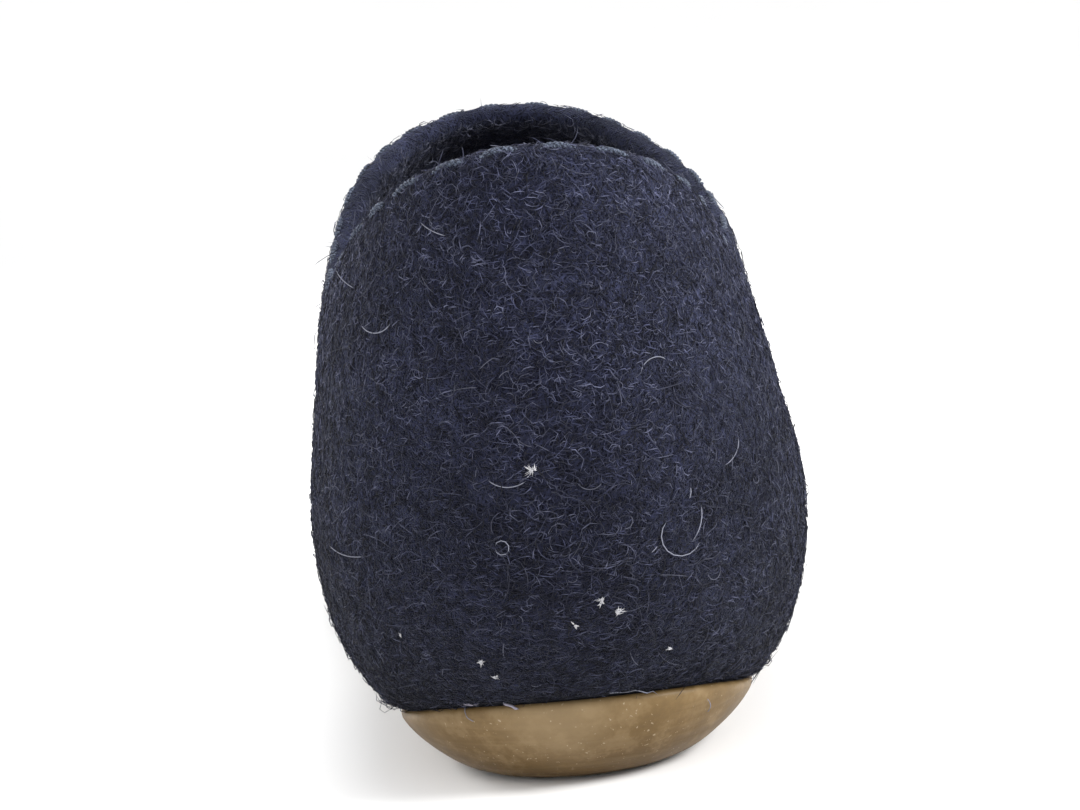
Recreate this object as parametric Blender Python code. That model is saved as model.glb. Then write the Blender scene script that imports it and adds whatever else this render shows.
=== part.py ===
"""A closed felt slipper for the right foot: felted upper, felt insole and moulded rubber outsole.

The shoe stands on z = 0 with its toe towards +Y, its lateral side towards +X, and the middle of its
box over the origin. A place round the shoe is given by its bearing, which runs from 0 at the middle
of the heel along the medial side to pi at the middle of the toe, and back along the lateral side.
"""

import math
from collections import namedtuple

import bmesh
import bpy
from mathutils import Vector

# Overall sizes, in metres
LENGTH = 0.275
HEEL_WIDTH = 0.0785
BALL_WIDTH = 0.0985
BACK_HEIGHT = 0.0940
THROAT_HEIGHT = 0.1007
MEDIAL_DIP = 0.0716
LATERAL_DIP = 0.0745
WALL = 0.0045
CLEARANCE = 0.0003

# Opening: an oval that leans in from the widest ring of the upper
OPENING_INSET = 0.0055
OPENING_LENGTH = 0.107
OPENING_WIDTH = 0.0660
OPENING_SWAY = -0.0030
LATERAL_BULGE = 0.0026
FAN = 0.53

# Outsole
SIDE_HEIGHT = 0.0080
BACK_LIP = 0.0070
TOE_LIP = 0.0035
LIP_SPREAD = 0.050
FOOTBED_HEIGHT = 0.0065
SOLE_ROUND = 0.0140
LIP_SLOPE = 0.35
ARCH_RISE = 0.0020
TOE_SPRING = 0.0075

# Insole
INSOLE_THICKNESS = 0.0040
INSOLE_EDGE_ROUND = 0.0012

# Widest ring of the upper. Fullness is a share of the half width between heel and ball, and sway
# moves the ring sideways by a share of the ball width.
HEEL_SHARE = 0.15
BALL_SHARE = 0.67
Ring = namedtuple("Ring", "share fullness sway")
RING = (
    Ring(0.000, 0.000, 0.000),
    Ring(0.030, 0.600, 0.000),
    Ring(0.080, 0.870, 0.000),
    Ring(HEEL_SHARE, 0.985, 0.002),
    Ring(0.280, 0.990, 0.004),
    Ring(0.420, 0.935, 0.006),
    Ring(0.550, 0.940, 0.004),
    Ring(BALL_SHARE, 0.998, -0.002),
    Ring(0.780, 0.965, -0.014),
    Ring(0.880, 0.830, -0.035),
    Ring(0.955, 0.580, -0.065),
    Ring(1.000, 0.000, -0.080),
)

# Sections of the wall between sole and opening, in metres and shares of the climb to the opening.
# Girth is the height of the widest ring, tuck how far the wall turns in under it, shoulder the
# share of the climb that the rounded part takes, reach how far in it ends, and hollow how late the
# rest of the climb comes.
Section = namedtuple("Section", "share girth tuck shoulder reach hollow")
SECTIONS = (
    Section(0.00, 0.0360, 0.0075, 1.00, 3.00, 1.00),
    Section(0.14, 0.0360, 0.0100, 0.46, 1.00, 1.00),
    Section(0.38, 0.0300, 0.0090, 0.38, 0.80, 1.10),
    Section(0.64, 0.0250, 0.0070, 0.27, 0.30, 1.10),
    Section(0.88, 0.0270, 0.0055, 0.24, 0.16, 1.20),
    Section(1.00, 0.0290, 0.0050, 0.22, 0.14, 1.25),
)

# Edge of the opening: how far it stands above its lowest place, as shares of the rise to the back
# and of the rise to the throat, and how far its lateral side bulges, as a share of that bulge
Edge = namedtuple("Edge", "share back medial lateral bulge")
EDGE = (
    Edge(0.00, 1.00, 0.00, 0.00, 0.00),
    Edge(0.08, 0.84, 0.00, 0.00, 0.00),
    Edge(0.20, 0.53, 0.00, 0.00, -0.10),
    Edge(0.34, 0.16, 0.00, 0.00, -0.50),
    Edge(0.48, 0.00, 0.00, 0.00, -0.20),
    Edge(0.62, 0.00, 0.22, 0.16, 1.00),
    Edge(0.76, 0.00, 0.56, 0.50, 0.60),
    Edge(0.89, 0.00, 0.82, 0.78, 0.10),
    Edge(1.00, 0.00, 1.00, 1.00, 0.00),
)

# Underside: height of the sole's lower face above the floor, as shares of arch rise and toe spring
Tread = namedtuple("Tread", "share arch spring")
TREAD = (
    Tread(0.00, 0.0, 0.00),
    Tread(0.26, 0.0, 0.00),
    Tread(0.42, 1.0, 0.00),
    Tread(0.58, 0.0, 0.00),
    Tread(0.74, 0.0, 0.00),
    Tread(0.88, 0.0, 0.36),
    Tread(1.00, 0.0, 1.00),
)

COLUMNS = 80
TUCK_ROWS = 4
CLIMB_ROWS = 18
RIM_ROWS = 4
SOLE_ROWS = 6
TUCK_ANGLE = math.radians(62)
ROLL_ANGLE = math.radians(64)
CLIMB_SPACING = 1.5
SMALL_TURN = 0.001
SHARP_ANGLE = math.radians(50)


def through(rows, keys, values, key):
    """The value at key on a smooth line through the rows' values, level where its neighbours turn."""
    last = len(rows) - 1
    index = max(i for i in range(last) if i == 0 or keys[i] <= key)
    width = keys[index + 1] - keys[index]
    share = (key - keys[index]) / width

    def slope(i):
        before, after = max(i - 1, 0), min(i + 1, last)
        steps = [
            (values[j + 1] - values[j]) / (keys[j + 1] - keys[j]) for j in range(before, after)
        ]
        if steps[0] * steps[-1] <= 0.0:
            return 0.0
        return 2.0 * steps[0] * steps[-1] / (steps[0] + steps[-1])

    a, b = values[index], values[index + 1]
    rise_a, rise_b = slope(index) * width, slope(index + 1) * width
    cube, square = share**3, share**2
    return (
        a * (2 * cube - 3 * square + 1)
        + rise_a * (cube - 2 * square + share)
        + b * (3 * square - 2 * cube)
        + rise_b * (cube - square)
    )


def at_share(rows, column, share):
    keys = [row.share for row in rows]
    return through(rows, keys, [getattr(row, column) for row in rows], share)


def turn_of(share):
    return math.acos(1.0 - 2.0 * share)


def share_of(turn):
    return (1.0 - math.cos(turn)) / 2.0


def turn_and_side(bearing):
    """The angle from the heel, 0 to pi, and -1 on the medial side or 1 on the lateral one."""
    bearing = bearing % (2.0 * math.pi)
    if bearing <= math.pi:
        return bearing, -1.0
    return 2.0 * math.pi - bearing, 1.0


def bearings():
    return [2.0 * math.pi * i / COLUMNS for i in range(COLUMNS)]


def smooth_step(x):
    x = min(max(x, 0.0), 1.0)
    return x * x * (3.0 - 2.0 * x)


def ring_point(bearing):
    """The widest ring of the upper in plan, without an inset."""
    turn, side = turn_and_side(bearing)
    share = share_of(turn)
    fullness = through(
        RING, [turn_of(row.share) for row in RING], [row.fullness for row in RING], turn
    )
    grown = smooth_step((share - HEEL_SHARE) / (BALL_SHARE - HEEL_SHARE))
    half_width = (HEEL_WIDTH + (BALL_WIDTH - HEEL_WIDTH) * grown) / 2.0
    sway = at_share(RING, "sway", share) * BALL_WIDTH
    return Vector((side * half_width * fullness + sway, (share - 0.5) * LENGTH))


def inward(bearing):
    along = ring_point(bearing + SMALL_TURN) - ring_point(bearing - SMALL_TURN)
    return Vector((along.y, -along.x)).normalized()


def plan(bearing, inset):
    """The widest ring in plan, moved in by the inset."""
    return ring_point(bearing) + inward(bearing) * inset


def tread_height(y):
    share = min(max(y / LENGTH + 0.5, 0.0), 1.0)
    arch = at_share(TREAD, "arch", share) * ARCH_RISE
    return arch + at_share(TREAD, "spring", share) * TOE_SPRING


def lip_height(bearing):
    """The height of the outsole's upper edge, which turns up round the heel and the toe."""
    edge = plan(bearing, at_share(SECTIONS, "tuck", share_of(turn_and_side(bearing)[0])))
    from_heel = edge.y + LENGTH / 2.0
    from_toe = LENGTH / 2.0 - edge.y
    back = BACK_LIP * (1.0 - smooth_step(from_heel / LIP_SPREAD))
    toe = TOE_LIP * (1.0 - smooth_step(from_toe / LIP_SPREAD))
    return tread_height(edge.y) + SIDE_HEIGHT + back + toe


def opening_point(bearing):
    """A place on the outer edge of the opening."""
    turn, side = turn_and_side(bearing)
    turn += FAN * math.sin(turn)
    share = share_of(turn)
    dip = MEDIAL_DIP if side < 0.0 else LATERAL_DIP
    rise = at_share(EDGE, "back", share) * (BACK_HEIGHT - dip)
    rise += at_share(EDGE, "medial" if side < 0.0 else "lateral", share) * (THROAT_HEIGHT - dip)
    across = side * OPENING_WIDTH / 2.0 * math.sin(turn) + OPENING_SWAY * share
    if side > 0.0:
        across += at_share(EDGE, "bulge", share) * LATERAL_BULGE
    return Vector((across, OPENING_INSET - LENGTH / 2.0 + share * OPENING_LENGTH, dip + rise))


def ellipse_climb(x):
    return math.sqrt(1.0 - (1.0 - min(x, 1.0)) ** 2)


def upper_point(bearing, level):
    """The upper's outer face: level -1 at the sole, 0 on the widest ring and 1 at the opening."""
    share = share_of(turn_and_side(bearing)[0])
    girth = at_share(SECTIONS, "girth", share)
    if level <= 0.0:
        tuck = at_share(SECTIONS, "tuck", share)
        seat = lip_height(bearing) + CLEARANCE
        angle = -level * TUCK_ANGLE
        inset = tuck * (1.0 - math.cos(angle)) / (1.0 - math.cos(TUCK_ANGLE))
        height = girth - (girth - seat) * math.sin(angle) / math.sin(TUCK_ANGLE)
        place = plan(bearing, inset)
        return Vector((place.x, place.y, height))
    shoulder = at_share(SECTIONS, "shoulder", share)
    reach = at_share(SECTIONS, "reach", share)
    hollow = at_share(SECTIONS, "hollow", share)
    start, end = ring_point(bearing), opening_point(bearing)
    inside = level**CLIMB_SPACING
    climb = shoulder * ellipse_climb(inside / reach) / ellipse_climb(1.0 / reach)
    climb += (1.0 - shoulder) * inside**hollow
    place = start.lerp(end.xy, inside)
    return Vector((place.x, place.y, girth + (end.z - girth) * climb))


def levels():
    tucks = [row / TUCK_ROWS - 1.0 for row in range(TUCK_ROWS)]
    return tucks + [row / CLIMB_ROWS for row in range(CLIMB_ROWS + 1)]


def upper_rows():
    """Rings of points: up the outer face, over the rolled edge of the opening and down inside."""
    rows = levels()
    outer = [[upper_point(b, level) for b in bearings()] for level in rows]
    normals = []
    for row in range(len(rows)):
        below, above = outer[max(row - 1, 0)], outer[min(row + 1, len(rows) - 1)]
        ring = outer[row]
        line = []
        for i in range(COLUMNS):
            along = ring[(i + 1) % COLUMNS] - ring[i - 1]
            normal = (above[i] - below[i]).cross(along).normalized()
            if rows[row] < 0.0:
                flat = -inward(bearings()[i])
                normal = normal.lerp(flat.to_3d(), rows[row] ** 2).normalized()
            line.append(normal)
        normals.append(line)
    inner = [
        [point - normal * WALL for point, normal in zip(ring, line)]
        for ring, line in zip(outer, normals)
    ]
    rim = []
    for step in range(1, RIM_ROWS):
        angle = math.pi * step / RIM_ROWS
        ring = []
        for i in range(COLUMNS):
            up = (outer[-1][i] - outer[-2][i]).normalized()
            middle = outer[-1][i] - normals[-1][i] * WALL / 2.0
            ring.append(middle + (normals[-1][i] * math.cos(angle) + up * math.sin(angle)) * WALL / 2.0)
        rim.append(ring)
    return outer + rim + inner[::-1]


def sole_rows():
    """Rings from the flat underside out round the rolled side, over the lip and in to the footbed."""
    angles = [ROLL_ANGLE * row / SOLE_ROWS for row in range(SOLE_ROWS + 1)]
    side = [[sole_side(b, angle) for b in bearings()] for angle in angles]
    lip = [plan(b, tuck_at(b) + WALL).to_3d() + Vector((0.0, 0.0, lip_height(b))) for b in bearings()]
    footbed = [footbed_point(b, 0.0, 0.0) for b in bearings()]
    return side + [lip, footbed]


def tuck_at(bearing):
    return at_share(SECTIONS, "tuck", share_of(turn_and_side(bearing)[0]))


def lip_slope(bearing):
    """How far the inside of the lip slopes in on its way down to the footbed."""
    edge = plan(bearing, tuck_at(bearing))
    drop = lip_height(bearing) - tread_height(edge.y) - FOOTBED_HEIGHT
    return LIP_SLOPE * max(drop, CLEARANCE)


def footbed_point(bearing, inset, height):
    """A place at this inset from the edge of the footbed, and at this height over it."""
    place = plan(bearing, tuck_at(bearing) + WALL + lip_slope(bearing) + inset)
    return Vector((place.x, place.y, tread_height(place.y) + FOOTBED_HEIGHT + height))


def sole_side(bearing, angle):
    out = math.sin(angle) / math.sin(ROLL_ANGLE)
    up = (1.0 - math.cos(angle)) / (1.0 - math.cos(ROLL_ANGLE))
    place = plan(bearing, tuck_at(bearing) + SOLE_ROUND * (1.0 - out))
    low = tread_height(place.y)
    return Vector((place.x, place.y, low + (lip_height(bearing) - low) * up))


def insole_rows():
    """Rings of the insole: lower edge, upper edge and the start of its flat top."""
    top = CLEARANCE + INSOLE_THICKNESS
    edges = (
        (CLEARANCE, CLEARANCE),
        (CLEARANCE, top - INSOLE_EDGE_ROUND),
        (CLEARANCE + INSOLE_EDGE_ROUND, top),
    )
    return [[footbed_point(b, inset, height) for b in bearings()] for inset, height in edges]


def lofted(name, rows, closed):
    """A body through the rings. A closed loft joins its last ring to its first, and an open one
    gets ladder caps, whose rungs run across the shoe, over its two end rings."""
    shape = bmesh.new()
    rings = [[shape.verts.new(point) for point in row] for row in rows]
    pairs = list(zip(rings, rings[1:]))
    if closed:
        pairs.append((rings[-1], rings[0]))
    for low, high in pairs:
        for i in range(COLUMNS):
            j = (i + 1) % COLUMNS
            shape.faces.new((low[i], low[j], high[j], high[i]))
    if not closed:
        for ring in (rings[0], rings[-1]):
            cap(shape, ring)
    bmesh.ops.recalc_face_normals(shape, faces=shape.faces[:])
    mesh = bpy.data.meshes.new(name)
    shape.to_mesh(mesh)
    shape.free()
    mesh.shade_smooth()
    mesh.set_sharp_from_angle(angle=SHARP_ANGLE)
    return mesh


def cap(shape, ring):
    half = COLUMNS // 2
    for i in range(half):
        corners = [ring[i], ring[i + 1], ring[(COLUMNS - i - 1) % COLUMNS], ring[-i]]
        corners = list(dict.fromkeys(corners))
        shape.faces.new(corners)


def finish(name, colour, roughness):
    material = bpy.data.materials.new(name)
    material.use_nodes = True
    shader = material.node_tree.nodes["Principled BSDF"]
    shader.inputs["Base Color"].default_value = (*colour, 1.0)
    shader.inputs["Roughness"].default_value = roughness
    shader.inputs["Metallic"].default_value = 0.0
    return material


def place(collection, mesh, material):
    part = bpy.data.objects.new(mesh.name, mesh)
    mesh.materials.append(material)
    collection.objects.link(part)
    return part


def clear_scene():
    for old in list(bpy.data.objects):
        bpy.data.objects.remove(old, do_unlink=True)


def build():
    clear_scene()
    slipper = bpy.data.collections.new("felt_slipper")
    bpy.context.scene.collection.children.link(slipper)
    navy_felt = finish("navy_felt", (0.030, 0.032, 0.055), 0.95)
    grey_felt = finish("grey_felt", (0.045, 0.046, 0.060), 0.95)
    rubber = finish("tan_rubber", (0.290, 0.205, 0.115), 0.55)
    place(slipper, lofted("upper", upper_rows(), closed=True), navy_felt)
    place(slipper, lofted("insole", insole_rows(), closed=False), grey_felt)
    place(slipper, lofted("outsole", sole_rows(), closed=False), rubber)


build()
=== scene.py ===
"""Looks of a felt slipper for the right foot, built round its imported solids.

Bodies are smoothed copies of the solids. The nap, the loose hairs, the collar's stitches and the lint
are thin closed tubes laid over them. Everything is in metres, with the toe towards +Y.
"""

import math
from collections import namedtuple

import bmesh
import bpy
import numpy as np
from mathutils import Matrix, Vector
from mathutils.bvhtree import BVHTree


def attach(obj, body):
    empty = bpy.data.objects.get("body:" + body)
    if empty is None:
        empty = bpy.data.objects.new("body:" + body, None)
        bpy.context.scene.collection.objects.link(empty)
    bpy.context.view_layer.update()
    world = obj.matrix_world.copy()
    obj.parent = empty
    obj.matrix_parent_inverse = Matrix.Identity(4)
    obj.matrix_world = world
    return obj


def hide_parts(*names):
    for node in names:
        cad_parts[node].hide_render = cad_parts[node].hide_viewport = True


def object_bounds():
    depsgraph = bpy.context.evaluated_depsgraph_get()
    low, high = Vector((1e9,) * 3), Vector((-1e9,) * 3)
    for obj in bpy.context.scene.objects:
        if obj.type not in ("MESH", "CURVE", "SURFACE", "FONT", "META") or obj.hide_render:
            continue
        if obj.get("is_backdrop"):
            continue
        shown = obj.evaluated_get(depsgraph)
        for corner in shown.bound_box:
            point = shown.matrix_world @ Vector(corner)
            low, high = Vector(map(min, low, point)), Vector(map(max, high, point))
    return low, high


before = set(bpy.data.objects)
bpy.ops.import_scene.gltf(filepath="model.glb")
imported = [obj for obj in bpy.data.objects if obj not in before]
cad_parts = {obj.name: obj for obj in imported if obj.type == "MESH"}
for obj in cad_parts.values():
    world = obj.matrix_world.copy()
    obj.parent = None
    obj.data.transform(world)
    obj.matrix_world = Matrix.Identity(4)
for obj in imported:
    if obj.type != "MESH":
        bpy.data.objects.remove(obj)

SEED = 41
rng = np.random.default_rng(SEED)
low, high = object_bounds()
HEEL_BACK = low.y

# Camera, as the photo shows the shoe: from behind, low and a little rolled
CAMERA_DISTANCE = 0.400
CAMERA_HEIGHT = 0.105
CAMERA_ACROSS = -0.0012
CAMERA_PITCH = math.radians(6.55)
CAMERA_ROLL = math.radians(-5.5)
CAMERA_LENS = 95.0
CAMERA_SENSOR = 36.0
CAMERA_NEAR = 0.01
CAMERA_FAR = 20.0

# Bodies
MERGE = 0.00002
FLAT_ANGLE = math.radians(50)
SHAPE_ANGLE = math.radians(60)
UPPER_LEVELS = 2
SOLE_LEVELS = 2
INSOLE_LEVELS = 1

# The soft insole spreads a little until it meets the wall
INSOLE_SPREAD = (1.050, 1.014, 1.0)

# Nap: short felted hairs that lie nearly flat, thickest on the heel, which the photo shows.
# The spread of their directions is in radians, and the length and lift are means.
HEEL_ZONE = 0.060
HEEL_CORE_SHARE = 0.5
HEEL_FADE_SHARE = 0.8
LOW_HEIGHT = 0.036
HIGH_HEIGHT = 0.064
FRONT_START = 0.020
RIM_ZONE = 0.0085
WALL_MIDDLE = (0.0, 0.0, 0.035)
Nap = namedtuple("Nap", "name zone count spread length lift")
OUTER_NAPS = (
    Nap("nap_heel_low", "low_heel", 13000, 0.50, 0.0025, 0.00020),
    Nap("nap_heel_middle", "middle_heel", 13000, 0.85, 0.0023, 0.00020),
    Nap("nap_heel_high", "high_heel", 13000, 1.00, 0.0022, 0.00022),
    Nap("nap_front", "front", 5500, 1.20, 0.0034, 0.00028),
    Nap("nap_sides", "sides", 7500, 1.20, 0.0030, 0.00028),
)
RIM_NAP = Nap("nap_rim", "rim", 5000, 1.20, 0.0022, 0.00024)

# Main direction of the nap: level in the middle of the heel, steeper towards its sides
NAP_MIDDLE = 0.002
NAP_HALF_WIDTH = 0.034
NAP_STEEPEST = 1.25
NAP_LOW_START = 0.030
NAP_LOW_FADE = 0.045
NAP_LOW_SHARE = 0.6
NAP_SIDE_START = 0.45

# Lengths and areas that count as nothing, and the least slope of a wall that has a level direction
TINY = 1e-9
TINIEST_AREA = 1e-12
LEVEL_LEAST = 0.05

# Every short hair: radius at its middle, steps along it, depth of its root, bends
HAIR_RADIUS = 0.000068
HAIR_STEPS = 3
ROOT_DEPTH = 0.00008
HAIR_TURN = 0.6
HAIR_BOW = 0.8
NAP_CURL = 1.6
NAP_THICKNESS = (0.70, 1.25)
LENGTH_EVENNESS = 6.0
LIFT_EVENNESS = 2.0

# Longer hairs that lie loose in arcs and hooks
Curl = namedtuple("Curl", "name count length bend steps radius")
CURLS = Curl("nap_curls", 2600, 0.0034, 2.6, 5, 0.000062)
STRAYS = Curl("stray_hairs", 220, 0.0032, 2.0, 9, 0.000065)
CURL_FLOAT = 0.00016
CURL_ROOT = 0.00020
CURL_CLIMB = 0.00002
CURL_THICKNESS = (0.75, 1.15)

# Fuzz that stands up along the outline
FUZZ_COUNT = 3500
FUZZ_LENGTH = 0.0009
FUZZ_ROOT = 0.0001
FUZZ_BEND = 0.9
FUZZ_SWAY = 0.4
FUZZ_FAR = 0.25
FUZZ_CURL = 0.8
FUZZ_LEANS = (0.3, 1.1)
FUZZ_THICKNESS = (0.45, 0.85)
FUZZ_EVENNESS = 4.0

# Fringe that hangs over the top of the sole
FRINGE_COUNT = 1300
FRINGE_LENGTH = 0.0027
FRINGE_LIFT = 0.00045
FRINGE_TURN = 0.75
FRINGE_LOWEST = 0.0014
FRINGE_REACH = 0.0070
FRINGE_BACK_START = 0.008
FRINGE_BACK_FADE = 0.045
FRINGE_NEAR = 0.3
FRINGE_CURL = 1.2
FRINGE_THICKNESS = (0.6, 1.1)
FRINGE_EVENNESS = 5.0

# Loose single hairs and lint on the heel, laid by rays from behind
RAY_START = 0.1
LOOSE_STEPS = 9
LOOSE_FLOAT = 0.00020
LOOSE_ARCH = 0.00025
LOOSE_SIDES = 4
DEEPEST_STEP = 0.0020
LINT_STEPS = 5
LINT_FLOAT = 0.0002
LINT_RISE = 0.25
LINT_FLATNESS = 0.6
LINT_SPREAD = 0.32
LINT_COURSE = 0.60
LINT_SWING = 3.0
LINT_RADII = (0.00004, 0.00008)

# Shader settings of each kind of surface
Finish = namedtuple("Finish", "roughness sheen specular")
FELT_FINISH = Finish(0.95, 0.16, 0.06)
HAIR_FINISH = Finish(0.80, 0.05, 0.10)
PALE_FINISH = Finish(0.85, 0.00, 0.15)
YARN_FINISH = Finish(0.85, 0.10, 0.12)
SOLE_FINISH = Finish(0.48, 0.00, 0.26)
FLOOR_FINISH = Finish(0.85, 0.00, 0.10)
SHEEN_ROUGHNESS = 0.55
FELT_SHEEN_ROUGHNESS = 0.30
FELT_SHEEN_TINT = (0.55, 0.60, 0.75, 1.0)

# Bumps: how deep the pattern is and how strongly it shows
Relief = namedtuple("Relief", "distance strength")
FELT_RELIEF = Relief(0.00035, 0.90)
YARN_RELIEF = Relief(0.00025, 0.80)
SOLE_RELIEF = Relief(0.00030, 0.35)
CLUMP_RELIEF_SHARE = 0.8
GRAIN_RELIEF_SHARE = 0.25

# Noise patterns: grains per metre, octaves and how rough the octaves are
Grain = namedtuple("Grain", "scale detail roughness")
FELT_CLUMPS = Grain(260.0, 3.0, 0.60)
FELT_CLOUDS = Grain(45.0, 2.0, 0.50)
HAIR_WEAR = Grain(620.0, 2.0, 0.50)
HAIR_CLOUDS = Grain(75.0, 2.0, 0.50)
PALE_SPOTS = Grain(2200.0, 2.0, 0.50)
YARN_STRANDS = Grain(4200.0, 2.0, 0.50)
YARN_CLOUDS = Grain(300.0, 2.0, 0.50)
SOLE_CLOUDS = Grain(70.0, 3.0, 0.60)
SOLE_MOTTLE = Grain(240.0, 4.0, 0.65)
SOLE_GRAIN = Grain(1700.0, 2.0, 0.50)
SOLE_BAND_GRAIN = Grain(1.0, 2.0, 0.50)
FLOOR_SPOTS = Grain(3.0, 2.0, 0.50)

# Spans of a soft ramp: where it starts and ends, and the values there
Span = namedtuple("Span", "low_in high_in low_out high_out")
CLUMP_SPAN = Span(0.30, 0.70, 0.35, 1.00)
FELT_DULL_SPAN = Span(0.35, 0.65, 0.00, 0.45)
HAIR_WEAR_SPAN = Span(0.36, 0.62, 0.00, 0.66)
HAIR_CLOUD_SPAN = Span(0.42, 0.62, 0.00, 0.50)
# Painted shade: how far the felt and its hairs darken towards the sole, by height
LOW_SHADE_SPAN = Span(0.010, 0.080, 0.50, 0.00)
YARN_SPAN = Span(0.40, 0.62, 0.00, 1.00)
YARN_CLOUD_SPAN = Span(0.35, 0.65, 0.00, 0.40)
# Painted shade and light on the sole, by height: dark at its bottom, light at its top
SOLE_SHADE_SPAN = Span(0.002, 0.0135, 0.00, 1.00)
SOLE_GLOSS_SPAN = Span(0.20, 0.80, 0.42, 0.60)
INWARD_SPAN = Span(0.003, 0.010, 0.00, 1.00)
UPWARD_SPAN = Span(0.94, 0.99, 0.00, 1.00)

# Felt: dark ground, lighter fibre and how strongly the painted web shows
Felt = namedtuple("Felt", "name ground fibre web_share")
NAVY_FELT = Felt("navy_felt", (0.0050, 0.0055, 0.0120), (0.050, 0.056, 0.110), 0.85)
INSOLE_FELT = Felt("insole_felt", (0.030, 0.031, 0.038), (0.105, 0.106, 0.128), 0.70)
FELT_DULL = 0.62
HAIR_DULL = 0.5
PALE_DULL = 0.6
# Near-black tone of the painted shade low on the felt and its hairs
LOW_SHADE_TONE = (0.002, 0.002, 0.003)

# Wool hairs: tones from the darkest hair to the lightest, by their share
Tone = namedtuple("Tone", "share colour")
NAVY_WOOL = (
    Tone(0.00, (0.0036, 0.0040, 0.0092)),
    Tone(0.35, (0.0205, 0.0225, 0.0480)),
    Tone(0.80, (0.067, 0.074, 0.139)),
    Tone(1.00, (0.155, 0.165, 0.250)),
)
# Hairs inside the collar's rim, lighter than the outer nap as painted light on the shaded inner band
LIT_RIM_WOOL = (
    Tone(0.00, (0.010, 0.0105, 0.020)),
    Tone(0.50, (0.044, 0.047, 0.078)),
    Tone(1.00, (0.170, 0.178, 0.240)),
)
CURL_WOOL = (
    Tone(0.00, (0.022, 0.024, 0.045)),
    Tone(0.60, (0.062, 0.068, 0.118)),
    Tone(1.00, (0.135, 0.142, 0.210)),
)
STRAY_TONE = (0.11, 0.115, 0.155)
LOOSE_TONE = (0.24, 0.25, 0.31)
GLUE_TONE = (0.33, 0.31, 0.38)
LINT_TONE = (0.60, 0.60, 0.63)
YARN_DARK = (0.022, 0.027, 0.045)
YARN_LIGHT = (0.125, 0.150, 0.205)
YARN_DULL = (0.030, 0.036, 0.058)
FLOOR_DARK = (0.86, 0.86, 0.86)
FLOOR_LIGHT = (0.90, 0.90, 0.90)

# Natural rubber: a low tone darkened as painted shade and a high tone lightened as painted light, then
# tints laid over them in this order
SOLE_SHADED_LOW = (0.087, 0.047, 0.0090)
SOLE_LIT_HIGH = (0.150, 0.094, 0.035)
Tint = namedtuple("Tint", "pattern span colour")
SOLE_TINTS = (
    Tint("clouds", Span(0.35, 0.70, 0.00, 0.45), (0.102, 0.062, 0.022)),
    Tint("bands", Span(0.50, 0.70, 0.00, 0.22), (0.205, 0.140, 0.068)),
    Tint("mottle", Span(0.46, 0.66, 0.00, 0.40), (0.225, 0.155, 0.078)),
    Tint("mottle", Span(0.50, 0.34, 0.00, 0.30), (0.080, 0.048, 0.016)),
    # Painted highlight: lighter round its middle, near the top of the sole at the heel
    Tint("painted_highlight", Span(0.002, 0.013, 0.45, 0.00), (0.270, 0.195, 0.108)),
    Tint("grain", Span(0.68, 0.72, 0.00, 0.60), (0.360, 0.290, 0.200)),
)
SOLE_BANDS = (45.0, 45.0, 900.0)
# Middle of the painted highlight on the sole, at the heel
SOLE_HIGHLIGHT_MIDDLE = (-0.003, -0.1295, 0.0115)
INSIDE_TONE = (0.022, 0.023, 0.030)

# Soft troughs and swells of the felt wall: a line in the shoe's own sizes, its bow, width and depth
Fold = namedtuple("Fold", "start end bow width depth")
FOLDS = (
    Fold((-0.013, -0.135, 0.0690), (0.005, -0.135, 0.0702), 0.0006, 0.0024, -0.00080),
    Fold((-0.017, -0.134, 0.0730), (0.008, -0.134, 0.0740), 0.0006, 0.0034, 0.00045),
    Fold((-0.030, -0.115, 0.0520), (-0.036, -0.080, 0.0560), 0.0010, 0.0060, -0.00060),
    Fold((0.032, -0.110, 0.0500), (0.038, -0.070, 0.0540), 0.0010, 0.0060, -0.00050),
    Fold((-0.026, 0.030, 0.062), (0.024, 0.034, 0.064), 0.0040, 0.0080, -0.00080),
    Fold((-0.030, 0.048, 0.052), (0.028, 0.052, 0.053), 0.0060, 0.0080, -0.00060),
    Fold((-0.040, -0.005, 0.045), (-0.030, 0.010, 0.070), 0.0, 0.0060, -0.00060),
    Fold((0.040, -0.005, 0.045), (0.031, 0.010, 0.070), 0.0, 0.0060, -0.00060),
)

# Share of a fold's length where it fades to its least at each end
FOLD_END = 0.02

# Collar stitches: two twisted plies that dip into the felt at both ends of each stitch
PLY_RADIUS = 0.00034
PLY_OFFSET = 0.00030
PLY_SIDES = 6
STITCH_LENGTH = 0.0058
STITCH_GAP = 0.0024
STITCH_STEPS = 22
STITCH_OUT = 0.0011
STITCH_DROP = 0.00012
STITCH_SINK = 0.0010
YARN_TURN = 0.0017
OPENING_MIDDLE = Vector((0.0, -0.078, 0.0))
CREST_BEARINGS = 240
CREST_ROUNDS = 6
STITCH_JITTER = 0.0005
STITCH_VARIES = (0.85, 1.12)
STITCH_SHOULDER = 0.35

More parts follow.
